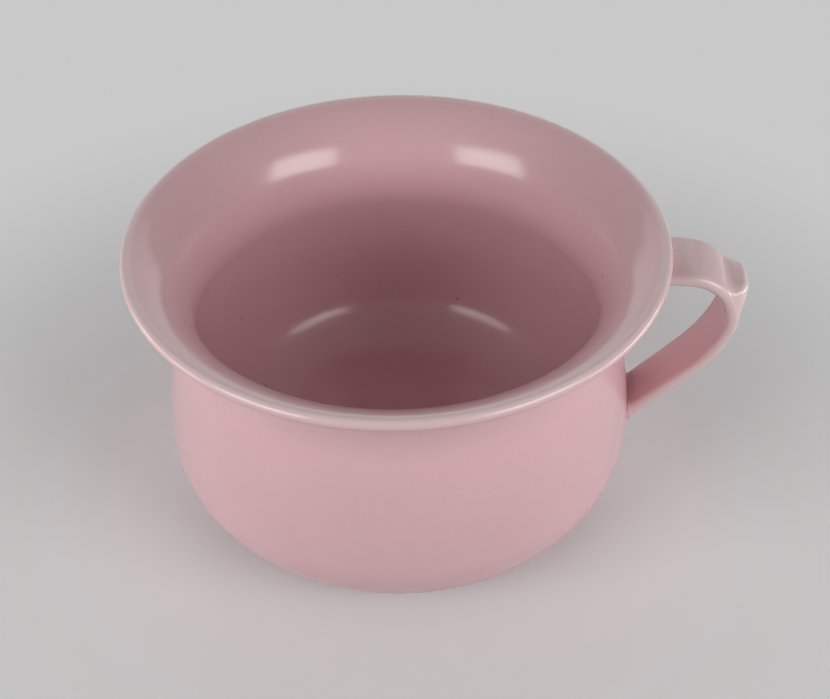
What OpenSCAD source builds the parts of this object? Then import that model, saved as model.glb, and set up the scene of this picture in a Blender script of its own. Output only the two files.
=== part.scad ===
// Chamber pot of glazed earthenware: a bowl with a flared rim, its standing ring, a strap
// handle with a thumb rest, and the slip that lutes the handle's two ends to the bowl.
// Millimetres, +Z up. The origin is the centre of the standing ring, on the face that the
// pot stands on. The handle reaches out along +X.

/* [Bowl] */
// Diameter over the lip
rim_d = 230; // [222:1:246]
// Height from the standing face to the top of the lip
pot_h = 135; // [126:1:148]
// Thickness of the wall and the lip
wall = 5.5; // [4:0.5:7]
// Thickness of the floor
floor_t = 7.5; // [5:0.5:10]
// Radius of the hollow inside, from the floor up to the wall
hollow_r = 38; // [34:1:42]
// Outer diameter of the neck, the narrow place under the rim
neck_d = 186; // [178:1:194]
// Height of the neck
neck_z = 101; // [94:1:108]
// Outer diameter of the belly, the wide place
belly_d = 206; // [200:1:222]
// Height of the belly's widest place
belly_z = 41; // [35:1:50]

/* [Standing ring] */
// Outer diameter of the standing ring
foot_d = 128; // [110:1:132]
// Width of the standing ring
foot_w = 9; // [6:0.5:14]
// Height of the standing ring
foot_h = 4; // [3:0.5:7]
// Radius of the standing ring's lower edges
foot_edge = 1; // [0.5:0.1:1.5]

/* [Handle] */
// Width of the strap
strap_w = 28; // [22:1:34]
// Thickness of the strap
strap_t = 5.6; // [4.6:0.1:7.6]
// Radius of the strap's long edges
strap_edge = 2.3; // [1:0.1:2.3]
// Depth of the strap's middle below the top of the lip
handle_drop = 10.5; // [9:0.5:16]
// Reach of the strap's outer face beyond the lip
handle_out = 30; // [24:1:40]
// Radius of the bend, at the strap's middle
bend_r = 22; // [17:0.5:27]
// Radius of the long back curve, at the strap's middle
back_r = 124; // [80:1:200]
// Height of the place where the strap's middle meets the belly
root_z = 50; // [43:0.5:60]

/* [Thumb rest] */
// Angle above the level at which the thumb rest stands on the bend
thumb_angle = 30; // [15:1:45]
// Height of the thumb rest over the strap's outer face
thumb_h = 6; // [4:0.5:9]
// Length of the thumb rest across the strap
thumb_l = 21; // [14:1:22]
// Radius of the thumb rest's crest
thumb_crest = 1.8; // [1.2:0.1:2.4]
// Radius of the thumb rest's two outer corners
thumb_corner = 4; // [2:0.5:6]
// Angle from the crest up to the foot of the upper flank
thumb_upper = 7; // [4:1:15]
// Angle from the crest down to the foot of the lower flank
thumb_lower = 25; // [15:1:35]

/* [Slip joints] */
// Thickness of the slip between the strap's end and the bowl
slip_t = 0.8; // [0.4:0.1:1.4]
// Height of the bead that the slip makes round the strap's end, off the bowl
bead_h = 2.4; // [1.8:0.1:3.5]
// Width of the bead beyond the strap
bead_w = 2; // [1:0.1:2.5]

/* [Hidden] */
$fn = 96;
PINK_GLAZE = [0.78, 0.63, 0.65];
PALE_GLAZE = [0.80, 0.67, 0.68];
BISCUIT = [0.86, 0.81, 0.75];
// Flats that draw the thumb rest's round crest
CREST_STEPS = 12;

// The bowl's profile is a chain of tangent arcs: a lower belly that leaves the flat base, a
// long shoulder, and a flare that bends outwards to the lip. Centres are [radius, height].
belly_r = belly_d / 2;
neck_r = neck_d / 2;
low_r = belly_z - foot_h;
base_r = belly_r - low_r;
lip_c = [rim_d / 2 - wall / 2, pot_h - wall / 2];
flare_run = lip_c[0] - (neck_r - wall / 2);
flare_rise = lip_c[1] - neck_z;
flare_mid_r = (flare_run * flare_run + flare_rise * flare_rise) / (2 * flare_run);
flare_r = flare_mid_r - wall / 2;
flare_c = [neck_r + flare_r, neck_z];
flare_angle = atan2(flare_rise, flare_mid_r - flare_run);
waist = belly_r - neck_r;
waist_rise = neck_z - belly_z;
shoulder_r = (waist * waist + waist_rise * waist_rise) / (2 * waist) - flare_r;
shoulder_c = [belly_r - shoulder_r, belly_z];
low_c = [base_r, belly_z];
join_angle = atan2(flare_c[1] - shoulder_c[1], flare_c[0] - shoulder_c[0]);
// Inside, one round hollow leaves the level floor and touches the shoulder's inner face. Its
// centre stays at least this far above the belly's widest place.
well_above = 1;
well_r = max(hollow_r, belly_z + well_above - foot_h - floor_t);
well_z = foot_h + floor_t + well_r;
well_far = shoulder_r - wall - well_r;
well_angle = asin((well_z - belly_z) / well_far);
well_c = [shoulder_c[0] + well_far * cos(well_angle), well_z];

function heading(a) = [cos(a), sin(a)];

// Radius of the bowl's outer face at height z, from the base to where the shoulder ends
function outer_r(z) = z < belly_z
    ? low_c[0] + sqrt(low_r * low_r - (belly_z - z) * (belly_z - z))
    : shoulder_c[0] + sqrt(shoulder_r * shoulder_r - (z - belly_z) * (z - belly_z));

// The strap's middle line, in the handle's own plane: a level run out from under the lip,
// a bend, and a long back curve that touches the bend from inside and ends on the belly.
handle_z = pot_h - handle_drop;
bend_c = [rim_d / 2 + handle_out - strap_t / 2 - bend_r, handle_z - bend_r];
root = [outer_r(root_z), root_z];
to_root = root - bend_c;
root_far = norm(to_root);
back_along = (root_far * root_far + bend_r * bend_r - 2 * back_r * bend_r) / (2 * root_far);
back_aside = sqrt((back_r - bend_r) * (back_r - bend_r) - back_along * back_along);
root_dir = to_root / root_far;
back_c = bend_c + back_along * root_dir + back_aside * [root_dir[1], -root_dir[0]];
bend_end = atan2(bend_c[1] - back_c[1], bend_c[0] - back_c[0]);
root_angle = atan2(root[1] - back_c[1], root[0] - back_c[0]);
run_start = neck_r - wall;
// The back curve runs on into the bowl by this angle, and is then trimmed
bury_angle = asin(2 * strap_t / back_r);
edge_r = min(strap_edge, 0.45 * strap_t);
// Where one curve runs on into the next, as the strap's back curve does into its bend, it is let
// in by this length, and its faces lie this far inside the other's, so that the two cross cleanly
let_in = 1;
let_in_angle = asin(let_in / back_r);
let_in_depth = 0.05;

// A ring about centre c, cut to a polygon
module ring_part(c, r_out, r_in, corners) {
    intersection() {
        translate(c) difference() {
            circle(r_out);
            circle(r_in);
        }
        polygon(corners);
    }
}

// The wedge above the level of the shoulder's centre, up to angle a; at the join angle its
// last corner is the flare's centre
function wedge(a) = [
    shoulder_c,
    [flare_c[0], belly_z],
    [flare_c[0], belly_z + (flare_c[0] - shoulder_c[0]) * tan(a)],
];

// Half of the bowl's wall, cut through the axis
module bowl_half() {
    far = 2 * (flare_r + wall);
    difference() {
        union() {
            translate([0, foot_h]) square([base_r, low_r]);
            intersection() {
                translate(low_c) circle(low_r);
                translate([base_r, foot_h]) square(low_r);
            }
            ring_part(shoulder_c, shoulder_r, shoulder_r - 2 * wall, wedge(well_angle));
        }
        translate([0, foot_h + floor_t]) square([well_c[0], pot_h]);
        translate(well_c) circle(well_r);
    }
    ring_part(shoulder_c, shoulder_r, shoulder_r - wall, wedge(join_angle));
    ring_part(flare_c, flare_r + wall, flare_r, [
        flare_c,
        shoulder_c,
        flare_c + far * heading(180 - flare_angle / 2),
        flare_c + far * heading(180 - flare_angle),
    ]);
    // The flare is let into the shoulder, so that no seam is left where they meet
    join_let_in = asin(let_in / flare_r);
    ring_part(flare_c, flare_r + wall - let_in_depth, flare_r + let_in_depth, [
        flare_c,
        flare_c + far * heading(180 + join_angle - join_let_in),
        flare_c + far * heading(180 + join_angle + join_let_in),
    ]);
    translate(lip_c) circle(wall / 2);
}

// Half of the space inside the bowl's outer face, with that face up to the lip grown by g
module filled_half(g) {
    join_z = belly_z + (shoulder_r + g) * sin(join_angle);
    flare_end = flare_c[0] - (flare_r - g) * cos(flare_angle);
    translate([0, foot_h - g]) square([base_r, low_r + g]);
    intersection() {
        translate(low_c) circle(low_r + g);
        translate([base_r, foot_h - g]) square([low_r + g, low_r + g]);
    }
    intersection() {
        translate(shoulder_c) circle(shoulder_r + g);
        translate([0, belly_z]) square([belly_r + g, join_z - belly_z]);
    }
    difference() {
        translate([0, join_z]) square([flare_end, pot_h - join_z]);
        translate(flare_c) circle(flare_r - g);
    }
    translate(lip_c) circle(wall / 2);
}

module filled_bowl(g) {
    rotate_extrude() filled_half(g);
}

// The strap's section, with its thickness along x, its width along y and a margin all round
module strap_section(margin) {
    t = strap_t + 2 * margin;
    w = strap_w + 2 * margin;
    r = edge_r + margin;
    square([t - 2 * r, w], center = true);
    square([t, w - 2 * r], center = true);
    for (x = [-1, 1], y = [-1, 1])
        translate([x * (t / 2 - r), y * (w / 2 - r)]) circle(r);
}

// Part of a turn of the strap about centre c, from angle a0 to angle a1 above the level
module strap_turn(c, r, a0, a1, margin) {
    translate([c[0], 0, c[1]]) rotate([90, 0, 0])
        rotate_extrude(angle = a1 - a0, start = a0) translate([r, 0]) strap_section(margin);
}

// The level run from under the lip to the bend
module level_run(margin) {
    translate([run_start, 0, handle_z]) rotate([0, 90, 0])
        linear_extrude(bend_c[0] - run_start) strap_section(margin);
}

// The back curve from inside the bend's end into the bowl
module back_curve(margin) {
    strap_turn(back_c, back_r, root_angle - bury_angle, bend_end + let_in_angle, margin);
}

module strap() {
    level_run(0);
    strap_turn(bend_c, bend_r, bend_end, 90, 0);
    back_curve(-let_in_depth);
}

// Angle, measured from the line between them, at which a line from p touches the circle about c
function touch_angle(p, c, r) = acos(r / norm(p - c));

// Angle of the line from point a to point b, between 0 and 360
function line_angle(a, b) = (atan2(b[1] - a[1], b[0] - a[0]) + 360) % 360;

// The thumb rest seen from the side: a round crest with two straight flanks
module thumb_side() {
    crest_c = bend_c + (bend_r + strap_t / 2 + thumb_h - thumb_crest) * heading(thumb_angle);
    upper = bend_c + bend_r * heading(thumb_angle + thumb_upper);
    lower = bend_c + bend_r * heading(thumb_angle - thumb_lower);
    a_upper = line_angle(crest_c, upper) - touch_angle(upper, crest_c, thumb_crest);
    a_lower = line_angle(crest_c, lower) + touch_angle(lower, crest_c, thumb_crest) - 360;
    crest = [for (i = [0:CREST_STEPS])
        crest_c + thumb_crest * heading(a_lower + (a_upper - a_lower) * i / CREST_STEPS)];
    polygon(concat([lower], crest, [upper]));
}

// The thumb rest seen along the strap: a bar with two round outer corners
module thumb_front() {
    top = bend_r + strap_t / 2 + thumb_h;
    translate([0, -thumb_l / 2]) square([top - thumb_corner, thumb_l]);
    translate([0, thumb_corner - thumb_l / 2]) square([top, thumb_l - 2 * thumb_corner]);
    for (y = [-1, 1])
        translate([top - thumb_corner, y * (thumb_l / 2 - thumb_corner)]) circle(thumb_corner);
}

// The slip that lies between the bowl and one end of the strap, with a bead round it
module slip_joint() {
    difference() {
        intersection() {
            children();
            filled_bowl(bead_h);
        }
        filled_bowl(0);
        handle_solid();
    }
}

module handle_solid() {
    difference() {
        strap();
        filled_bowl(slip_t);
    }
}

module bowl() {
    color(PINK_GLAZE) rotate_extrude() bowl_half();
}

module foot_ring() {
    inner = foot_d / 2 - foot_w;
    color(BISCUIT) rotate_extrude() {
        translate([inner, foot_edge]) square([foot_w, foot_h - foot_edge]);
        translate([inner + foot_edge, 0]) square([foot_w - 2 * foot_edge, foot_h]);
        for (x = [inner + foot_edge, foot_d / 2 - foot_edge])
            translate([x, foot_edge]) circle(foot_edge);
    }
}

module handle() {
    color(PINK_GLAZE) handle_solid();
}

module thumb_rest() {
    span = 2 * (bend_r + strap_t + thumb_h);
    color(PALE_GLAZE) difference() {
        intersection() {
            rotate([90, 0, 0]) linear_extrude(thumb_l, center = true) thumb_side();
            translate([bend_c[0], 0, bend_c[1]]) rotate([0, -thumb_angle, 0])
                linear_extrude(span, center = true) thumb_front();
        }
        strap();
    }
}

module upper_slip_joint() {
    color(PALE_GLAZE) slip_joint() level_run(bead_w);
}

module lower_slip_joint() {
    color(PALE_GLAZE) slip_joint() back_curve(bead_w);
}

bowl();
foot_ring();
handle();
thumb_rest();
upper_slip_joint();
lower_slip_joint();
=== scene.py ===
"""A chamber pot in pink glazed earthenware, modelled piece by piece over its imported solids."""

import math
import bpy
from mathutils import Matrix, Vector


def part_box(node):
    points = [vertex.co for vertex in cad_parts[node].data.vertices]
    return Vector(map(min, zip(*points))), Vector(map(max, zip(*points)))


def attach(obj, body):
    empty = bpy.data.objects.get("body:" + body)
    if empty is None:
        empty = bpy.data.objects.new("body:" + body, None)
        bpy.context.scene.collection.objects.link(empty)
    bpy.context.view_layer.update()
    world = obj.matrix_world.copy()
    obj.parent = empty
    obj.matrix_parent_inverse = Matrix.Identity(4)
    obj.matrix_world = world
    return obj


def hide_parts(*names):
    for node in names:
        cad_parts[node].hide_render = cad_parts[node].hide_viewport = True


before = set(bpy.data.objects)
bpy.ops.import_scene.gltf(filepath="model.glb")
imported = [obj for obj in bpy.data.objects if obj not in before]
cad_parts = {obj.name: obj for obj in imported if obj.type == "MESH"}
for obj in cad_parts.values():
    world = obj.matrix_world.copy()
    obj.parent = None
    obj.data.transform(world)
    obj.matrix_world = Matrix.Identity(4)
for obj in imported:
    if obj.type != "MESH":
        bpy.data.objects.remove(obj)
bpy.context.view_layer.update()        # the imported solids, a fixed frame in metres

from types import SimpleNamespace

import bmesh
import bpy
from bpy.props import FloatProperty, FloatVectorProperty, PointerProperty
from mathutils import Matrix, Vector

bl_info = {
    "name": "Chamber Pot",
    "version": (1, 0, 0),
    "blender": (4, 5, 0),
    "location": "3D View > Sidebar > Chamber Pot",
    "description": "Models a glazed earthenware chamber pot and the stage that it stands on",
    "category": "Add Mesh",
}

MM = 0.001
BODY = "root"

# Width of the photograph in pixels, and its focal length in the same pixels
PHOTO_WIDTH = 830
PHOTO_FOCAL = 1500

# Steps round the pot's axis, and along each stretch of the outlines that are spun about it
TURNS = 224
FLOOR_STEPS = 8
BELLY_STEPS = 24
SHOULDER_STEPS = 18
FLARE_STEPS = 28
LIP_STEPS = 16
HOLLOW_STEPS = 28
RING_STEPS = 4

# Steps along the strap's run, bend, back curve and tail, and round its section
STRAP_STEPS = (12, 48, 20, 18)
EDGE_STEPS = 8
FACE_STEPS = 12

# Steps of a fillet, of a rounded corner of the thumb rest's outline, and across the thumb rest
FILLET_STEPS = 10
CORNER_STEPS = 20
THUMB_STEPS = 80

# Sides of the floor, and steps of the curve between floor and backdrop
STAGE_SIDES = 96
STAGE_STEPS = 16

# Edges that turn more than this stay sharp, and vertices that lie closer than this are one
SHARP_EDGE = math.radians(40)
DOUBLES = 0.001 * MM

# A glazed piece's attribute that says how thin its glaze runs, from 0 (thick) to 1; on the strap's outer
# face and the lip it also paints light, sheen and a highlight
THIN_AND_LIT_GLAZE = "thin_glaze"

# How pale the glaze is on the strap's outer face, partly thin glaze and partly painted light and sheen, and
# how thin it runs on its edges
FACE_THIN_AND_LIT = 0.7
EDGE_THIN = 0.9

# Share of the lip's thickness over which the glaze goes from thick to thin and pale; the pale lip is partly
# thin glaze and partly a painted highlight
LIP_FADE = 0.6

# The thumb rest runs out at this share of the strap's half width, and this far round the bend past its feet
THUMB_REACH = 0.97
THUMB_SPREAD = math.radians(9)

# Where it has run out it lies this deep under the strap's face, and its hidden bottom lies this deep
THUMB_SUNK = 0.2 * MM
THUMB_KEEL = 1.6 * MM

# Step along its outline, how square its two ends are, and how softly they meet the strap
THUMB_STEP = 1 * MM
THUMB_SQUARE = 4
THUMB_SOFT = 0.12

# The slip's hidden sides lie this deep in strap and bowl, and its thin foot this deep in the bowl's face
SLIP_SINK = 0.6 * MM
SLIP_FOOT = 0.02 * MM

# The bowl's face is found within this length of the strap, by halving it this many times
SLIP_SEARCH = 25 * MM
SLIP_HALVINGS = 40

BOWL_LOW, BOWL_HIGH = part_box("bowl")
FOOT_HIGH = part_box("foot_ring")[1]
HANDLE_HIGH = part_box("handle")[1]


def linear(hex_colour):
    """Linear red, green and blue of an sRGB hex colour."""
    value = int(hex_colour, 16)
    shares = [(value >> shift & 255) / 255 for shift in (16, 8, 0)]
    return [c / 12.92 if c <= 0.04045 else ((c + 0.055) / 1.055) ** 2.4 for c in shares]


def length(name, description, default):
    """A size in metres that a user may change."""
    return FloatProperty(name=name, description=description, default=default, min=0, precision=5,
                         subtype="DISTANCE", unit="LENGTH")


def turn(name, description, degrees):
    """An angle that a user may change, given here in degrees."""
    return FloatProperty(name=name, description=description, default=math.radians(degrees), subtype="ANGLE")


def radiance(name, description, default):
    """A level of light that a user may change: at 1 a shining face is seen as just white."""
    return FloatProperty(name=name, description=description, default=default, min=0)


def fraction(name, description, default):
    """A share from 0 to 1 that a user may change."""
    return FloatProperty(name=name, description=description, default=default, min=0, max=1, subtype="FACTOR")


def colour(name, description, hex_colour):
    """A colour that a user may change, given here as sRGB hex."""
    return FloatVectorProperty(name=name, description=description, default=linear(hex_colour),
                               min=0, max=1, subtype="COLOR")


class PotSizes(bpy.types.PropertyGroup):
    """Sizes of the pot, in metres, and its angles"""
    rim_radius: length("Rim radius", "Radius over the lip", BOWL_HIGH.x)
    height: length("Height", "Top of the lip above the standing face", BOWL_HIGH.z)
    wall: length("Wall", "Thickness of the wall and the lip", 5.5 * MM)
    floor: length("Floor", "Thickness of the floor", 7.5 * MM)
    hollow_radius: length("Hollow radius", "Radius of the hollow from the floor up to the wall", 38 * MM)
    neck_radius: length("Neck radius", "Outer radius of the neck", 93 * MM)
    neck_height: length("Neck height", "Height of the neck", 101 * MM)
    belly_radius: length("Belly radius", "Outer radius of the belly", 103 * MM)
    belly_height: length("Belly height", "Height of the belly's widest place", 41 * MM)
    foot_radius: length("Foot radius", "Outer radius of the standing ring", FOOT_HIGH.x)
    foot_width: length("Foot width", "Width of the standing ring", 9 * MM)
    foot_height: length("Foot height", "Height of the standing ring", BOWL_LOW.z)
    foot_edge: length("Foot edge", "Radius of the standing ring's lower edges", 1 * MM)
    foot_fillet: length("Foot fillet", "Radius of the glaze between ring and belly", 2 * MM)
    strap_reach: length("Strap reach", "Strap's outer face from the pot's axis", HANDLE_HIGH.x)
    strap_top: length("Strap height", "Strap's middle above the standing face, at the bend", 124.6 * MM)
    strap_wide: length("Strap width at the lip", "Width of the strap under the lip", 30.7 * MM)
    strap_narrow: length("Strap width at the belly", "Width of the strap at the belly", 24 * MM)
    strap_thick: length("Strap thickness", "Thickness of the strap", 5.7 * MM)
    strap_edge: length("Strap edge", "Radius of the strap's long edges", 2.5 * MM)
    strap_crown: length("Strap crown", "Swell of the strap's two faces", 0.25 * MM)
    run_tilt: turn("Run tilt", "Fall of the strap's upper run", 1.7)
    run_start: length("Run start", "Where the strap starts inside the wall", 100.3 * MM)
    bend_radius: length("Bend radius", "Radius of the bend at the strap's middle", 21.3 * MM)
    bend_turn: turn("Bend turn", "Turn of the bend", 107)
    back_radius: length("Back radius", "Radius of the back curve at the strap's middle", 66.8 * MM)
    back_turn: turn("Back turn", "Turn of the back curve", 25.3)
    root_depth: length("Root depth", "How far the strap's lower end goes into the wall", 3 * MM)
    thumb_height: length("Thumb rest height", "Height of the flanks' meeting point", 7.2 * MM)
    thumb_crest: length("Thumb rest crest", "Radius of the crest", 2.4 * MM)
    thumb_angle: turn("Thumb rest angle", "Place of the crest on the bend", 30.5)
    thumb_above: turn("Thumb rest upper flank", "From the crest up to the flank's foot", 8)
    thumb_below: turn("Thumb rest lower flank", "From the crest down to the flank's foot", 27.5)
    thumb_crease: length("Thumb rest crease", "Radius of the hollow above the rest", 7 * MM)
    thumb_sweep: length("Thumb rest sweep", "Radius of the hollow below the rest", 14 * MM)
    slip_fillet: length("Slip fillet", "Reach of the slip's hollow on strap and bowl", 2 * MM)


class PotColours(bpy.types.PropertyGroup):
    """Colours of the pot and its stage"""
    glaze: colour("Glaze", "Pink glaze where it lies thick", "E8BCC0")
    # The thin glaze colour also paints light, sheen and a highlight on the strap's outer face and the lip
    glaze_thin: colour("Thin glaze", "Pink glaze where it runs thin on edges", "F4D8D8")
    speck: colour("Speck", "Iron speck in the glaze", "6B4A48")
    biscuit: colour("Biscuit", "Bare fired clay", "DDD0BE")
    grime: colour("Grime", "Dust rubbed into the bare clay", "A89884")
    floor: colour("Floor", "Plain floor and backdrop, as they light the pot", "BCBEC0")
    floor_seen: colour("Floor as seen", "Plain pale floor and backdrop in the picture", "FCFCFC")


class PotStage(bpy.types.PropertyGroup):
    """The camera, the lamps and the floor"""
    camera_away: length("Camera distance", "From the target to the camera", 686.91 * MM)
    camera_height: turn("Camera elevation", "Angle of the camera above the level", 40.47)
    camera_round: turn("Camera azimuth", "Turn of the camera about the pot's axis", 3.2)
    camera_roll: turn("Camera roll", "Turn of the picture about its middle", 0.7)
    target: FloatVectorProperty(
        name="Target", description="Point in the picture's middle, before the azimuth",
        default=(7.23 * MM, 14.15 * MM, 60 * MM), subtype="XYZ", unit="LENGTH")
    lamp_away: length("Lamp distance", "From the pot's axis to each lamp", 1.6)
    lamp_edge: fraction("Lamp edge", "Share of its width, from its middle, where a lamp fades", 0.42)
    key_round: turn("Key azimuth", "Tall softboxes to the left and right of the camera", 51)
    key_wide: length("Key width", "Width of a tall softbox", 1.15)
    key_tall: length("Key height", "Height of a tall softbox, with its soft top", 1.16)
    key_low: length("Key bottom", "Bottom of a tall softbox above the floor", 0.36)
    key_level: radiance("Key level", "Radiance of a tall softbox", 4.4)
    key_fade: fraction("Key fade", "Share of its height above which a tall softbox fades", 0.55)
    side_round: turn("Side azimuth", "Low panels at the left and right of the pot", 92)
    side_wide: length("Side width", "Width of a low panel", 1.25)
    side_tall: length("Side height", "Height of a low panel", 0.22)
    side_low: length("Side bottom", "Bottom of a low panel above the floor", 0.01)
    side_level: radiance("Side level", "Radiance of a low panel", 9.0)
    side_fade: fraction("Side fade", "Share of its height above which a low panel fades", 0.8)
    back_wide: length("Back width", "Width of the panel behind the pot", 1.8)
    back_tall: length("Back height", "Height of the panel behind the pot, with its soft top", 1.5)
    back_low: length("Back bottom", "Bottom of the panel behind the pot above the floor", 0.05)
    back_level: radiance("Back level", "Radiance of the panel behind the pot", 0.9)
    back_fade: fraction("Back fade", "Share of its height above which the panel behind the pot fades", 0.8)
    sky: radiance("Sky", "Radiance of the plain light from above", 0.08)
    sky_mirrored: radiance("Mirrored sky", "Radiance of the sky where the glaze mirrors it", 0.35)
    floor_near: length("Floor near", "From the axis to where the floor starts to be seen as one tone", 0.12)
    floor_far: length("Floor far", "From the axis to where the floor is seen as one tone", 0.36)
    floor_level: radiance("Floor level", "Radiance of the floor far off, as it is seen", 0.58)
    floor_radius: length("Floor radius", "Radius of the floor, out to the backdrop", 2.4)
    backdrop_height: length("Backdrop height", "Height of the backdrop all round", 2.6)
    backdrop_curve: length("Backdrop curve", "Radius between floor and backdrop", 0.7)
    backdrop_low: length("Backdrop low", "Height where the backdrop starts to take the sky's tone", 0.02)
    backdrop_high: length("Backdrop high", "Height where the backdrop has the sky's tone", 0.3)


# Modelling helpers


def begin(name):
    """Leave the new primitive in edit mode, all selected, under this name."""
    piece = bpy.context.object
    piece.name = name
    piece.data.name = name
    bpy.ops.object.mode_set(mode="EDIT")
    bpy.ops.mesh.select_mode(type="VERT")
    bpy.ops.mesh.select_all(action="SELECT")
    return piece


def begin_outline(name, x, z):
    """Start a piece as one vertex in the plane y = 0."""
    bpy.ops.object.select_all(action="DESELECT")
    bpy.ops.mesh.primitive_plane_add(size=MM)
    piece = begin(name)
    bpy.ops.mesh.merge(type="CENTER")
    bpy.ops.transform.translate(value=(x, 0, z))
    return piece


def draw_line(dx, dz, steps=1):
    """Extrude the selected vertex along a line in the plane y = 0."""
    for _ in range(steps):
        bpy.ops.mesh.extrude_region_move(TRANSFORM_OT_translate={"value": (dx / steps, 0, dz / steps)})


def draw_arc(centre, angle, steps):
    """Spin the selected vertex about a centre in the plane y = 0, anticlockwise with +X to the right."""
    bpy.ops.mesh.spin(steps=steps, angle=angle, center=(centre.x, 0, centre.y), axis=(0, 1, 0))


def spin_outline():
    """Spin the whole outline about the pot's axis into a closed surface that faces outwards."""
    bpy.ops.mesh.select_all(action="SELECT")
    bpy.ops.mesh.spin(steps=TURNS, angle=2 * math.pi, center=(0, 0, 0), axis=(0, 0, 1))
    close_surface()


def close_surface():
    """Merge doubles and turn every face outwards."""
    bpy.ops.mesh.select_all(action="SELECT")
    bpy.ops.mesh.remove_doubles(threshold=DOUBLES)
    bpy.ops.mesh.normals_make_consistent(inside=False)


def extrude_rings(name, rings):
    """Start a piece as a ring of vertices and extrude it once for each further ring."""
    count = len(rings[0])
    bpy.ops.object.select_all(action="DESELECT")
    bpy.ops.mesh.primitive_circle_add(vertices=count, radius=MM)
    piece = begin(name)
    for index, ring in enumerate(rings):
        if index:
            bpy.ops.mesh.extrude_region_move()
        mesh = bmesh.from_edit_mesh(piece.data)
        mesh.verts.ensure_lookup_table()
        for vertex, place in zip(mesh.verts[-count:], ring):
            vertex.co = place
        bmesh.update_edit_mesh(piece.data)
    return piece


def select_rings(piece, *starts, count):
    """Select the rings of vertices that start at these indices, and nothing else."""
    bpy.ops.mesh.select_mode(type="VERT")
    bpy.ops.mesh.select_all(action="DESELECT")
    mesh = bmesh.from_edit_mesh(piece.data)
    mesh.verts.ensure_lookup_table()
    for start in starts:
        for vertex in mesh.verts[start:start + count]:
            vertex.select = True
    mesh.select_flush(True)
    bmesh.update_edit_mesh(piece.data)


def cap_ends(piece, rings):
    """Close the first and the last ring with a face each, and turn every face outwards."""
    count = len(rings[0])
    for start in (0, (len(rings) - 1) * count):
        select_rings(piece, start, count=count)
        bpy.ops.mesh.edge_face_add()
    close_surface()


def finish_piece(piece, material, node_name, thin=None):
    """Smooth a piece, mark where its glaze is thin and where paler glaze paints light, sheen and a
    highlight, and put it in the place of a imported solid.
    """
    bpy.ops.object.mode_set(mode="OBJECT")
    bpy.ops.object.shade_smooth_by_angle(angle=SHARP_EDGE)
    if thin:
        marks = piece.data.attributes.new(THIN_AND_LIT_GLAZE, "FLOAT", "POINT")
        for vertex, mark in zip(piece.data.vertices, marks.data):
            mark.value = min(max(thin(vertex), 0), 1)
    piece.data.materials.append(material)
    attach(piece, BODY)
    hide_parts(node_name)


# The bowl's profile, in (radius, height)


def heading(angle):
    """Unit vector at an angle above the level."""
    return Vector((math.cos(angle), math.sin(angle)))


def bowl_arcs(s):
    """Centres, radii and turns of the tangent arcs that make the bowl's profile."""
    lip = Vector((s.rim_radius - s.wall / 2, s.height - s.wall / 2))
    run = lip.x - (s.neck_radius - s.wall / 2)
    rise = lip.y - s.neck_height
    middle = (run * run + rise * rise) / (2 * run)
    flare_radius = middle - s.wall / 2
    flare = Vector((s.neck_radius + flare_radius, s.neck_height))
    waist = s.belly_radius - s.neck_radius
    climb = s.neck_height - s.belly_height
    shoulder_radius = (waist * waist + climb * climb) / (2 * waist) - flare_radius
    shoulder = Vector((s.belly_radius - shoulder_radius, s.belly_height))
    low_radius = s.belly_height - s.foot_height
    low = Vector((s.belly_radius - low_radius, s.belly_height))
    well_height = s.foot_height + s.floor + s.hollow_radius
    well_away = shoulder_radius - s.wall - s.hollow_radius
    well_turn = math.asin((well_height - s.belly_height) / well_away)
    return SimpleNamespace(
        lip=lip, lip_radius=s.wall / 2,
        flare=flare, flare_radius=flare_radius, flare_turn=math.atan2(rise, middle - run),
        shoulder=shoulder, shoulder_radius=shoulder_radius,
        shoulder_turn=math.atan2(flare.y - shoulder.y, flare.x - shoulder.x),
        low=low, low_radius=low_radius,
        well=shoulder + well_away * heading(well_turn), well_turn=well_turn,
    )


def bowl_face(arcs, point):
    """Distance of a point outside the bowl's outer face, and that face's outward normal there."""
    spot = Vector((math.hypot(point.x, point.y), point.z))
    join_height = arcs.shoulder.y + arcs.shoulder_radius * math.sin(arcs.shoulder_turn)
    lip_height = arcs.flare.y + arcs.flare_radius * math.sin(arcs.flare_turn)
    if spot.y > lip_height:
        centre, radius, sign = arcs.lip, arcs.lip_radius, 1
    elif spot.y > join_height:
        centre, radius, sign = arcs.flare, arcs.flare_radius, -1
    elif spot.y > arcs.shoulder.y:
        centre, radius, sign = arcs.shoulder, arcs.shoulder_radius, 1
    else:
        centre, radius, sign = arcs.low, arcs.low_radius, 1
    away = (spot - centre).normalized() * sign
    normal = Vector((away.x * point.x / spot.x, away.x * point.y / spot.x, away.y))
    return sign * ((spot - centre).length - radius), normal


# The strap's middle line, in (x, z), and its section


def strap_line(s):
    """The strap's middle line as straight and round stretches, from the lip down to the belly."""
    bend = Vector((s.strap_reach - s.bend_radius - s.strap_thick / 2, s.strap_top - s.bend_radius))
    top = math.pi / 2 - s.run_tilt
    bend_start = bend + s.bend_radius * heading(top)
    run = (bend_start.x - s.run_start) / math.cos(s.run_tilt)
    start = bend_start - run * heading(-s.run_tilt)
    bend_end = top - s.bend_turn
    back = bend + (s.bend_radius - s.back_radius) * heading(bend_end)
    back_end = back + s.back_radius * heading(bend_end - s.back_turn)
    fall = bend_end - s.back_turn - math.pi / 2
    tail = (s.belly_radius - s.root_depth - back_end.x) / math.cos(fall)
    return [
        SimpleNamespace(start=start, heading=-s.run_tilt, length=run),
        SimpleNamespace(centre=bend, radius=s.bend_radius, angle=top, length=s.bend_radius * s.bend_turn),
        SimpleNamespace(centre=back, radius=s.back_radius, angle=bend_end,
                        length=s.back_radius * s.back_turn),
        SimpleNamespace(start=back_end, heading=fall, length=tail),
    ]


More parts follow.
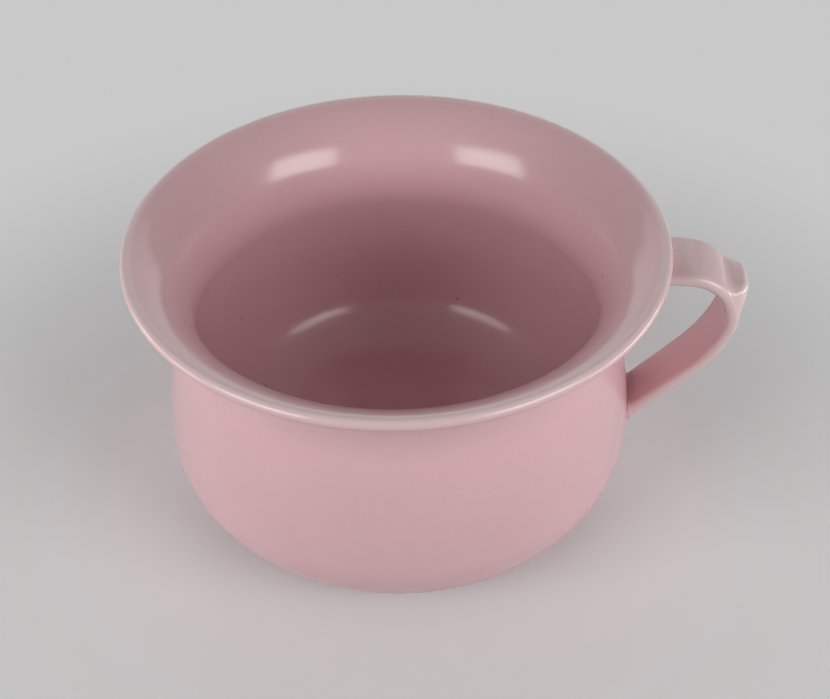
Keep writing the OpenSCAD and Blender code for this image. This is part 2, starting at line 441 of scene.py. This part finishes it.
def strap_spot(line, along):
    """Point on the strap's middle line, and the outward normal there, at a distance from its start."""
    for stretch in line:
        if along <= stretch.length or stretch is line[-1]:
            break
        along -= stretch.length
    if hasattr(stretch, "centre"):
        normal = heading(stretch.angle - along / stretch.radius)
        return stretch.centre + stretch.radius * normal, normal
    return stretch.start + along * heading(stretch.heading), heading(stretch.heading + math.pi / 2)


def strap_section(s):
    """The strap's section as (height off the middle, share of the half width, overhang)."""
    flat = s.strap_thick / 2 - s.strap_edge
    spots = []
    for quarter, (up, side) in enumerate(((1, 1), (1, -1), (-1, -1), (-1, 1))):
        for i in range(EDGE_STEPS + 1):
            angle = math.pi / 2 * (quarter + i / EDGE_STEPS)
            spots.append((up * flat + s.strap_edge * math.sin(angle), side, s.strap_edge * math.cos(angle)))
        if up * side > 0:
            for i in range(1, FACE_STEPS):
                share = side * (1 - 2 * i / FACE_STEPS)
                spots.append((up * (s.strap_thick / 2 + s.strap_crown * (1 - share * share)), share, 0))
    return spots


def strap_half(s, line, along):
    """Half the strap's width at a distance along it."""
    done = along / sum(stretch.length for stretch in line)
    return (s.strap_wide + (s.strap_narrow - s.strap_wide) * done) / 2


def strap_point(s, line, along, spot):
    """Point on the strap's surface at a distance along it, for one spot of its section."""
    height, share, over = spot
    middle, normal = strap_spot(line, along)
    place = middle + height * normal
    return Vector((place.x, share * (strap_half(s, line, along) - s.strap_edge) + over, place.y))


def strap_thin(vertex, bend):
    """How pale the glaze is at a vertex of the strap, by the way that the vertex faces: thin glaze on the
    long edges, and on the outer face partly thin glaze and partly painted light and sheen.
    """
    foot = Vector((vertex.co.x, vertex.co.z)) - bend
    outer = foot.normalized().dot(Vector((vertex.normal.x, vertex.normal.z)))
    return max(FACE_THIN_AND_LIT * outer, EDGE_THIN * abs(vertex.normal.y))


# Finishes


def add_node(tree, kind, inputs=None, **settings):
    """Add a node with its settings, and give its inputs values or links."""
    made = tree.nodes.new(kind)
    for key, value in settings.items():
        setattr(made, key, value)
    for key, value in (inputs or {}).items():
        if isinstance(value, bpy.types.NodeSocket):
            tree.links.new(value, made.inputs[key])
        else:
            made.inputs[key].default_value = value
    return made


def new_material(name):
    """An empty node material, and its tree."""
    material = bpy.data.materials.new(name)
    material.use_nodes = True
    tree = material.node_tree
    tree.nodes.clear()
    return material, tree


def rgba(values):
    """A colour with full alpha."""
    return (*values, 1)


def dipped_pink_glaze(colours):
    """Opaque pink glaze, dipped and fired on earthenware.

    The eye sees a soft even gloss, faint clouds where the coat is thicker, a paler line where it
    runs thin on edges, paler glaze on the lip and the strap's outer face that is partly painted
    light, sheen and highlight, a few iron specks, and the slight waviness of a melted surface.
    """
    material, tree = new_material("dipped_pink_glaze")
    place = add_node(tree, "ShaderNodeTexCoord").outputs["Object"]

    # Clouds where the coat is thicker, and a finer mottle, change the colour by a few hundredths
    cloud_size = 38 * MM
    mottle_size = 2.2 * MM
    cloud = add_node(tree, "ShaderNodeTexNoise", {"Vector": place, "Scale": 1 / cloud_size, "Detail": 3})
    mottle = add_node(tree, "ShaderNodeTexNoise", {"Vector": place, "Scale": 1 / mottle_size, "Detail": 2})
    shade = add_node(tree, "ShaderNodeMath", {
        0: cloud.outputs["Fac"], 1: mottle.outputs["Fac"]}, operation="ADD")
    depth = add_node(tree, "ShaderNodeMapRange", {
        "Value": shade.outputs[0], "From Min": 0.7, "From Max": 1.3, "To Min": 0.98, "To Max": 1.01})
    body = add_node(tree, "ShaderNodeMix", {
        "Factor": 1.0, "A": rgba(colours.glaze), "B": depth.outputs[0],
    }, data_type="RGBA", blend_type="MULTIPLY")

    # The coat is paler where it runs thin, and where it is painted paler for light, sheen and a highlight on
    # the strap's outer face and the lip
    thin = add_node(tree, "ShaderNodeAttribute", attribute_name=THIN_AND_LIT_GLAZE, attribute_type="GEOMETRY")
    edge = add_node(tree, "ShaderNodeMix", {
        "Factor": thin.outputs["Fac"], "A": body.outputs["Result"], "B": rgba(colours.glaze_thin),
    }, data_type="RGBA")

    # Iron specks, as small round dots in a quarter of the cells of a pattern
    speck_spacing = 13 * MM
    speck_radius = 0.455 * MM
    speck_share = 0.25
    cell = add_node(tree, "ShaderNodeTexVoronoi", {"Vector": place, "Scale": 1 / speck_spacing})
    near = add_node(tree, "ShaderNodeMath", {
        0: cell.outputs["Distance"], 1: speck_radius / speck_spacing}, operation="LESS_THAN")
    pick = add_node(tree, "ShaderNodeSeparateColor", {"Color": cell.outputs["Color"]})
    rare = add_node(tree, "ShaderNodeMath", {
        0: pick.outputs["Red"], 1: 1 - speck_share}, operation="GREATER_THAN")
    speck = add_node(tree, "ShaderNodeMath", {0: near.outputs[0], 1: rare.outputs[0]}, operation="MULTIPLY")
    tint = add_node(tree, "ShaderNodeMix", {
        "Factor": speck.outputs[0], "A": edge.outputs["Result"], "B": rgba(colours.speck)}, data_type="RGBA")

    # A soft gloss, a little uneven, over the waviness of the melt and a fine orange peel
    wave_size = 24 * MM
    wave_depth = 0.06 * MM
    peel_size = 3 * MM
    peel_depth = 0.003 * MM
    gloss = add_node(tree, "ShaderNodeMapRange", {
        "Value": cloud.outputs["Fac"], "From Min": 0.3, "From Max": 0.7, "To Min": 0.15, "To Max": 0.2})
    wave = add_node(tree, "ShaderNodeTexNoise", {"Vector": place, "Scale": 1 / wave_size, "Detail": 1})
    peel = add_node(tree, "ShaderNodeTexNoise", {"Vector": place, "Scale": 1 / peel_size, "Detail": 1})
    swell = add_node(tree, "ShaderNodeBump", {
        "Height": wave.outputs["Fac"], "Strength": 1, "Distance": wave_depth})
    skin = add_node(tree, "ShaderNodeBump", {
        "Height": peel.outputs["Fac"], "Strength": 1, "Distance": peel_depth, "Normal": swell.outputs[0]})
    shader = add_node(tree, "ShaderNodeBsdfPrincipled", {
        "Base Color": tint.outputs["Result"], "Roughness": gloss.outputs[0], "IOR": 1.6,
        "Normal": skin.outputs[0]})
    add_node(tree, "ShaderNodeOutputMaterial", {"Surface": shader.outputs[0]})
    return material


def bare_fired_clay(colours):
    """Bare fired earthenware, wiped clean of glaze before firing.

    The eye sees a matt cream face with fine grit, small pits and a little rubbed-in grime.
    """
    material, tree = new_material("bare_fired_clay")
    grit_size = 0.8 * MM
    grit_depth = 0.12 * MM
    smear_size = 14 * MM
    place = add_node(tree, "ShaderNodeTexCoord").outputs["Object"]
    grit = add_node(tree, "ShaderNodeTexNoise", {"Vector": place, "Scale": 1 / grit_size, "Detail": 4})
    smear = add_node(tree, "ShaderNodeTexNoise", {"Vector": place, "Scale": 1 / smear_size, "Detail": 4})
    rubbed = add_node(tree, "ShaderNodeMapRange", {
        "Value": smear.outputs["Fac"], "From Min": 0.45, "From Max": 0.75, "To Min": 0, "To Max": 0.5})
    tint = add_node(tree, "ShaderNodeMix", {
        "Factor": rubbed.outputs[0], "A": rgba(colours.biscuit), "B": rgba(colours.grime)}, data_type="RGBA")
    bump = add_node(tree, "ShaderNodeBump", {
        "Height": grit.outputs["Fac"], "Strength": 1, "Distance": grit_depth})
    shader = add_node(tree, "ShaderNodeBsdfPrincipled", {
        "Base Color": tint.outputs["Result"], "Roughness": 0.85, "Normal": bump.outputs[0]})
    add_node(tree, "ShaderNodeOutputMaterial", {"Surface": shader.outputs[0]})
    return material


def shared(make):
    """A finish that is made once, under its own name, and then shared."""
    return bpy.data.materials.get(make.__name__) or make(bpy.context.scene.pot_colours)


# The pieces


class POT_OT_bowl(bpy.types.Operator):
    """Model the bowl: an outline of tangent arcs, spun about the pot's axis"""
    bl_idname = "pot.bowl"
    bl_label = "Bowl"

    def execute(self, context):
        s = context.scene.pot_sizes
        arcs = bowl_arcs(s)
        flare_sweep = arcs.flare_turn + arcs.shoulder_turn
        piece = begin_outline("pot_bowl", 0, s.foot_height)
        draw_line(arcs.low.x, 0, FLOOR_STEPS)
        draw_arc(arcs.low, math.pi / 2, BELLY_STEPS)
        draw_arc(arcs.shoulder, arcs.shoulder_turn, SHOULDER_STEPS)
        draw_arc(arcs.flare, -flare_sweep, FLARE_STEPS)
        draw_arc(arcs.lip, math.pi, LIP_STEPS)
        draw_arc(arcs.flare, flare_sweep, FLARE_STEPS)
        draw_arc(arcs.shoulder, arcs.well_turn - arcs.shoulder_turn, SHOULDER_STEPS)
        draw_arc(arcs.well, -math.pi / 2 - arcs.well_turn, HOLLOW_STEPS)
        draw_line(-arcs.well.x, 0, FLOOR_STEPS)
        spin_outline()
        lip_low = s.height - LIP_FADE * s.wall
        lip_inner = s.rim_radius - s.wall

        def thin(vertex):
            """The glaze runs thin on top of the lip, and thickens down both its faces; the pale lip is
            partly thin glaze and partly a painted highlight.
            """
            up = vertex.co.z - lip_low
            out = math.hypot(vertex.co.x, vertex.co.y) - lip_inner
            return min(up, out) / (LIP_FADE * s.wall)

        finish_piece(piece, shared(dipped_pink_glaze), "bowl", thin)
        return {"FINISHED"}


class POT_OT_foot_ring(bpy.types.Operator):
    """Model the standing ring: a low ring with round lower edges and a fillet up to the belly"""
    bl_idname = "pot.foot_ring"
    bl_label = "Standing ring"

    def execute(self, context):
        s = context.scene.pot_sizes
        outer = s.foot_radius
        inner = outer - s.foot_width
        edge, fillet = s.foot_edge, s.foot_fillet
        side = s.foot_height - fillet - edge
        piece = begin_outline("pot_foot_ring", inner - fillet, s.foot_height)
        draw_arc(Vector((inner - fillet, s.foot_height - fillet)), -math.pi / 2, FILLET_STEPS)
        draw_line(0, -side)
        draw_arc(Vector((inner + edge, edge)), math.pi / 2, EDGE_STEPS)
        draw_line(outer - inner - 2 * edge, 0, RING_STEPS)
        draw_arc(Vector((outer - edge, edge)), math.pi / 2, EDGE_STEPS)
        draw_line(0, side)
        draw_arc(Vector((outer + fillet, s.foot_height - fillet)), -math.pi / 2, FILLET_STEPS)
        draw_line(inner - outer - 2 * fillet, 0)
        spin_outline()
        finish_piece(piece, shared(bare_fired_clay), "foot_ring")
        return {"FINISHED"}


class POT_OT_handle(bpy.types.Operator):
    """Model the handle: a strap that leaves the lip, bends over and comes down to the belly"""
    bl_idname = "pot.handle"
    bl_label = "Handle"

    def execute(self, context):
        s = context.scene.pot_sizes
        line = strap_line(s)
        section = strap_section(s)
        bend = line[1].centre
        stops = [0.0]
        for stretch, steps in zip(line, STRAP_STEPS):
            start = stops[-1]
            stops += [start + stretch.length * (i + 1) / steps for i in range(steps)]
        rings = [[strap_point(s, line, along, spot) for spot in section] for along in stops]
        piece = extrude_rings("pot_handle", rings)
        cap_ends(piece, rings)

        def thin(vertex):
            """The glaze runs thin on the strap's two long edges, and its outer face is paler, partly thin
            glaze and partly painted light and sheen.
            """
            return strap_thin(vertex, bend)

        finish_piece(piece, shared(dipped_pink_glaze), "handle", thin)
        return {"FINISHED"}


def rounded_outline(corners, step):
    """Points along a chain of lines, with each corner (x, y, radius) rounded by an arc of that radius."""
    places = [Vector(corner[:2]) for corner in corners]
    points = [places[0]]

    def line_to(end):
        """Add points along a line, about a step apart."""
        start = points[-1]
        pieces = max(1, round((end - start).length / step))
        points.extend(start.lerp(end, (i + 1) / pieces) for i in range(pieces))

    for before, here, after, corner in zip(places, places[1:], places[2:], corners[1:]):
        radius = corner[2]
        back = (before - here).normalized()
        ahead = (after - here).normalized()
        half = back.angle(ahead) / 2
        reach = radius / math.tan(half)
        centre = here + (back + ahead).normalized() * radius / math.sin(half)
        line_to(here + back * reach)
        start = points[-1] - centre
        sweep = math.pi - 2 * half
        sign = 1 if back.cross(ahead) < 0 else -1
        for i in range(CORNER_STEPS):
            points.append(centre + Matrix.Rotation(sign * sweep * (i + 1) / CORNER_STEPS, 2) @ start)
    line_to(places[-1])
    return points


def thumb_outline(s, face):
    """The thumb rest's outline, as (length round the bend's outer face, height over that face)."""
    crest = face * s.thumb_angle
    above = face * (s.thumb_angle + s.thumb_above)
    below = face * (s.thumb_angle - s.thumb_below)
    return rounded_outline([
        (above + face * THUMB_SPREAD, -THUMB_SUNK),
        (above, 0, s.thumb_crease),
        (crest, s.thumb_height, s.thumb_crest),
        (below, 0, s.thumb_sweep),
        (below - face * THUMB_SPREAD, -THUMB_SUNK),
    ], THUMB_STEP)


class POT_OT_thumb_rest(bpy.types.Operator):
    """Model the thumb rest: a soft ridge across the bend of the strap"""
    bl_idname = "pot.thumb_rest"
    bl_label = "Thumb rest"

    def execute(self, context):
        s = context.scene.pot_sizes
        line = strap_line(s)
        bend = line[1].centre
        face = s.bend_radius + s.strap_thick / 2
        outline = thumb_outline(s, face)

        def place(along, height, across):
            """Point at a height over the strap's outer face, at a share of the strap's half width."""
            angle = along / face
            half = strap_half(s, line, line[0].length + s.bend_radius * (line[1].angle - angle))
            flat = half - s.strap_edge
            y = across * half
            crown = s.strap_crown * (1 - min(1, abs(y) / flat) ** 2)
            drop = s.strap_edge - math.sqrt(s.strap_edge ** 2 - max(0, abs(y) - flat) ** 2)
            spot = bend + (face + height + crown - drop) * heading(angle)
            return Vector((spot.x, y, spot.y))

        rings = []
        for i in range(THUMB_STEPS + 1):
            side = -math.cos(math.pi * i / THUMB_STEPS)
            full = 1 - abs(side) ** THUMB_SQUARE
            share = full * full * (1 + THUMB_SOFT) / (full + THUMB_SOFT)
            across = THUMB_REACH * side
            top = [place(p.x, (p.y + THUMB_SUNK) * share - THUMB_SUNK, across) for p in outline]
            bottom = [place(p.x, -THUMB_KEEL, across) for p in (outline[-1], outline[0])]
            rings.append(top + bottom)
        piece = extrude_rings("pot_thumb_rest", rings)
        cap_ends(piece, rings)

        def thin(vertex):
            """The glaze runs thinner up to the crest, from the strap's outer face, whose paleness is partly
            painted light and sheen.
            """
            spot = Vector((vertex.co.x, vertex.co.z)) - bend
            return FACE_THIN_AND_LIT + (EDGE_THIN - FACE_THIN_AND_LIT) * (spot.length - face) / s.thumb_height

        finish_piece(piece, shared(dipped_pink_glaze), "thumb_rest", thin)
        return {"FINISHED"}


def strap_entry(s, arcs, line, spot, outwards):
    """Distance along the strap at which one spot of its section goes into the bowl."""
    inside = 0 if outwards > 0 else sum(stretch.length for stretch in line)
    outside = inside + outwards * SLIP_SEARCH
    for _ in range(SLIP_HALVINGS):
        middle = (inside + outside) / 2
        if bowl_face(arcs, strap_point(s, line, middle, spot))[0] > 0:
            outside = middle
        else:
            inside = middle
    return inside


def slip_rings(s, outwards):
    """Rings of a slip joint: a hollow fillet round the strap's end, from the strap down to the bowl."""
    arcs = bowl_arcs(s)
    line = strap_line(s)
    section = strap_section(s)
    columns = []
    for i, spot in enumerate(section):
        inside = strap_entry(s, arcs, line, spot, outwards)
        corner = strap_point(s, line, inside, spot)
        bowl_normal = bowl_face(arcs, corner)[1]
        along = strap_point(s, line, inside + outwards * s.slip_fillet, spot)
        before = strap_point(s, line, inside, section[i - 1])
        after = strap_point(s, line, inside, section[(i + 1) % len(section)])
        strap_normal = (along - corner).cross(before - after).normalized() * -outwards
        rim = bowl_normal.cross(strap_normal.cross(bowl_normal)).normalized()
        foot = corner + rim * s.slip_fillet
        gap, foot_normal = bowl_face(arcs, foot)
        foot -= foot_normal * (gap + SLIP_FOOT)
        column = [along - strap_normal * SLIP_SINK]
        for k in range(FILLET_STEPS + 1):
            t = k / FILLET_STEPS
            column.append(along * (1 - t) ** 2 + corner * 2 * t * (1 - t) + foot * t * t)
        column += [foot - foot_normal * SLIP_SINK, corner - (strap_normal + bowl_normal) * SLIP_SINK]
        columns.append(column)
    return [list(ring) for ring in zip(*columns)]


class POT_OT_slip_joints(bpy.types.Operator):
    """Model the two slip joints: the clay that lutes the strap's ends to the bowl"""
    bl_idname = "pot.slip_joints"
    bl_label = "Slip joints"

    def execute(self, context):
        s = context.scene.pot_sizes
        arcs = bowl_arcs(s)
        bend = strap_line(s)[1].centre

        def thin(vertex):
            """The glaze thickens, and the strap's painted light and sheen fade, from the strap down to the
            bowl.
            """
            return strap_thin(vertex, bend) * bowl_face(arcs, vertex.co)[0] / s.slip_fillet

        for name, outwards in (("upper_slip_joint", 1), ("lower_slip_joint", -1)):
            rings = slip_rings(s, outwards)
            count = len(rings[0])
            piece = extrude_rings("pot_" + name, rings)
            select_rings(piece, 0, (len(rings) - 1) * count, count=count)
            bpy.ops.mesh.bridge_edge_loops()
            close_surface()
            finish_piece(piece, shared(dipped_pink_glaze), name, thin)
        return {"FINISHED"}


# The stage


class POT_OT_stage(bpy.types.Operator):
    """Set the stage: a pale seamless floor, softboxes and panels round the pot, a grey sky and the camera"""
    bl_idname = "pot.stage"
    bl_label = "Stage"

    def execute(self, context):
        stage = context.scene.pot_stage
        self.lay_floor(stage, context.scene.pot_colours)
        self.hang_lamps(stage)
        self.light_sky(context.scene, stage)
        self.set_camera(context.scene, stage)
        context.scene.view_settings.view_transform = "Standard"
        return {"FINISHED"}

    def lay_floor(self, stage, colours):
        """A round floor whose edge curves up into a backdrop on every side."""
        bpy.ops.object.select_all(action="DESELECT")
        bpy.ops.mesh.primitive_circle_add(vertices=STAGE_SIDES, radius=stage.floor_radius, fill_type="NGON")
        floor = begin("stage_floor")
        bpy.ops.mesh.select_mode(type="EDGE")
        bpy.ops.mesh.select_all(action="SELECT")
        bpy.ops.mesh.region_to_loop()
        bpy.ops.mesh.extrude_region_move(TRANSFORM_OT_translate={"value": (0, 0, stage.backdrop_height)})
        bpy.ops.mesh.select_all(action="DESELECT")
        mesh = bmesh.from_edit_mesh(floor.data)
        for edge in mesh.edges:
            edge.select = all(vertex.co.z < MM for vertex in edge.verts)
        mesh.select_flush(True)
        bmesh.update_edit_mesh(floor.data)
        bpy.ops.mesh.bevel(offset=stage.backdrop_curve, segments=STAGE_STEPS)
        bpy.ops.object.mode_set(mode="OBJECT")
        bpy.ops.object.shade_smooth()
        floor.data.materials.append(self.pale_paper(stage, colours))

    def pale_paper(self, stage, colours):
        """Matt pale paper: it takes the pot's shadow, and far off it is seen as one plain tone."""
        material, tree = new_material("pale_paper")
        place = add_node(tree, "ShaderNodeTexCoord").outputs["Object"]
        away = add_node(tree, "ShaderNodeVectorMath", {0: place}, operation="LENGTH")
        far = add_node(tree, "ShaderNodeMapRange", {
            "Value": away.outputs["Value"], "From Min": stage.floor_near, "From Max": stage.floor_far,
        }, interpolation_type="SMOOTHSTEP")
        path = add_node(tree, "ShaderNodeLightPath")
        seen = add_node(tree, "ShaderNodeMath", {
            0: path.outputs["Is Camera Ray"], 1: path.outputs["Is Glossy Ray"]}, operation="MAXIMUM")
        share = add_node(tree, "ShaderNodeMath", {
            0: far.outputs[0], 1: seen.outputs[0]}, operation="MULTIPLY")
        tone = add_node(tree, "ShaderNodeMix", {
            "Factor": seen.outputs[0], "A": rgba(colours.floor), "B": rgba(colours.floor_seen),
        }, data_type="RGBA")
        paper = add_node(tree, "ShaderNodeBsdfPrincipled", {
            "Base Color": tone.outputs["Result"], "Roughness": 0.9})
        height = add_node(tree, "ShaderNodeSeparateXYZ", {0: place})
        level = add_node(tree, "ShaderNodeMapRange", {
            "Value": height.outputs["Z"], "From Min": stage.backdrop_low, "From Max": stage.backdrop_high,
            "To Min": stage.floor_level, "To Max": stage.sky_mirrored,
        }, interpolation_type="SMOOTHSTEP")
        plain = add_node(tree, "ShaderNodeEmission", {"Strength": level.outputs[0]})
        shader = add_node(tree, "ShaderNodeMixShader", {
            0: share.outputs[0], 1: paper.outputs[0], 2: plain.outputs[0]})
        add_node(tree, "ShaderNodeOutputMaterial", {"Surface": shader.outputs[0]})
        return material

    def hang_lamps(self, stage):
        """A tall softbox and a low panel on each side of the camera, and a wide dim panel behind the pot."""
        self.hang_lamp(stage, "back", "back", math.pi)
        for side, word in ((1, "right"), (-1, "left")):
            self.hang_lamp(stage, "key", "key_" + word, side * stage.key_round)
            self.hang_lamp(stage, "side", "side_" + word, side * stage.side_round)

    def hang_lamp(self, stage, kind, name, azimuth):
        """A rectangular lamp that faces the pot's axis, with soft sides and a soft top."""
        sizes = ("wide", "tall", "low", "level", "fade")
        wide, tall, low, level, fade = (getattr(stage, kind + "_" + size) for size in sizes)
        angle = azimuth + stage.camera_round
        foot = Vector((math.sin(angle), -math.cos(angle), 0)) * stage.lamp_away
        bpy.ops.object.light_add(type="AREA", location=foot + Vector((0, 0, low + tall / 2)))
        lamp = bpy.context.object
        lamp.name = name
        lamp.rotation_euler = Vector((-foot.x, -foot.y, 0)).to_track_quat("-Z", "Y").to_euler()
        lamp.visible_camera = False
        lamp.data.shape = "RECTANGLE"
        lamp.data.size = wide
        lamp.data.size_y = tall
        lamp.data.energy = level * math.pi * wide * tall
        lamp.data.use_nodes = True
        tree = lamp.data.node_tree
        spot = add_node(tree, "ShaderNodeNewGeometry").outputs["Parametric"]
        split = add_node(tree, "ShaderNodeSeparateXYZ", {0: spot})
        across = add_node(tree, "ShaderNodeMath", {0: split.outputs["X"], 1: 0.5}, operation="SUBTRACT")
        edge = add_node(tree, "ShaderNodeMath", {0: across.outputs[0]}, operation="ABSOLUTE")
        sides = add_node(tree, "ShaderNodeMapRange", {
            "Value": edge.outputs[0], "From Min": stage.lamp_edge, "From Max": 0.5,
            "To Min": 1, "To Max": 0})
        top = add_node(tree, "ShaderNodeMapRange", {
            "Value": split.outputs["Y"], "From Min": fade, "From Max": 1, "To Min": 1, "To Max": 0,
        }, interpolation_type="SMOOTHSTEP")
        glow = add_node(tree, "ShaderNodeMath", {
            0: sides.outputs[0], 1: top.outputs[0]}, operation="MULTIPLY")
        tree.links.new(glow.outputs[0], tree.nodes["Emission"].inputs["Strength"])

    def light_sky(self, scene, stage):
        """A plain grey sky over the open top of the backdrop, paler where the glaze mirrors it."""
        world = bpy.data.worlds.new("plain_sky")
        world.use_nodes = True
        tree = world.node_tree
        path = add_node(tree, "ShaderNodeLightPath")
        level = add_node(tree, "ShaderNodeMapRange", {
            "Value": path.outputs["Is Glossy Ray"], "To Min": stage.sky, "To Max": stage.sky_mirrored})
        sky = tree.nodes["Background"]
        sky.inputs["Color"].default_value = (1, 1, 1, 1)
        tree.links.new(level.outputs[0], sky.inputs["Strength"])
        scene.world = world

    def set_camera(self, scene, stage):
        """The photograph's viewpoint, worked out from the pot's outlines in it."""
        back = Vector((0, -math.cos(stage.camera_height), math.sin(stage.camera_height)))
        right = Vector((1, 0, 0))
        up = back.cross(right)
        turned = Matrix((right, up, back)).transposed() @ Matrix.Rotation(-stage.camera_roll, 3, "Z")
        swing = Matrix.Rotation(stage.camera_round, 3, "Z")
        bpy.ops.object.camera_add()
        camera = bpy.context.object
        camera.name = "photo_camera"
        camera.matrix_world = Matrix.Translation(
            swing @ (Vector(stage.target) + back * stage.camera_away)) @ (swing @ turned).to_4x4()
        camera.data.sensor_fit = "HORIZONTAL"
        camera.data.lens = camera.data.sensor_width * PHOTO_FOCAL / PHOTO_WIDTH
        scene.camera = camera


class POT_PT_panel(bpy.types.Panel):
    """The pot's pieces and sizes, in the sidebar"""
    bl_label = "Chamber Pot"
    bl_space_type = "VIEW_3D"
    bl_region_type = "UI"
    bl_category = "Chamber Pot"

    def draw(self, context):
        for operator in OPERATORS:
            self.layout.operator(operator.bl_idname)
        for group in (context.scene.pot_sizes, context.scene.pot_colours, context.scene.pot_stage):
            box = self.layout.box()
            for name in group.__annotations__:
                box.prop(group, name)


OPERATORS = (
    POT_OT_stage, POT_OT_bowl, POT_OT_foot_ring, POT_OT_handle, POT_OT_thumb_rest, POT_OT_slip_joints)
GROUPS = {"pot_sizes": PotSizes, "pot_colours": PotColours, "pot_stage": PotStage}


def register():
    for kind in (*GROUPS.values(), *OPERATORS, POT_PT_panel):
        bpy.utils.register_class(kind)
    for name, kind in GROUPS.items():
        setattr(bpy.types.Scene, name, PointerProperty(type=kind))


def unregister():
    for name in GROUPS:
        delattr(bpy.types.Scene, name)
    for kind in (POT_PT_panel, *reversed(OPERATORS), *reversed(list(GROUPS.values()))):
        bpy.utils.unregister_class(kind)


def main():
    register()
    bpy.ops.pot.stage()
    bpy.ops.pot.bowl()
    bpy.ops.pot.foot_ring()
    bpy.ops.pot.handle()
    bpy.ops.pot.thumb_rest()
    bpy.ops.pot.slip_joints()


if __name__ == "__main__":
    main()
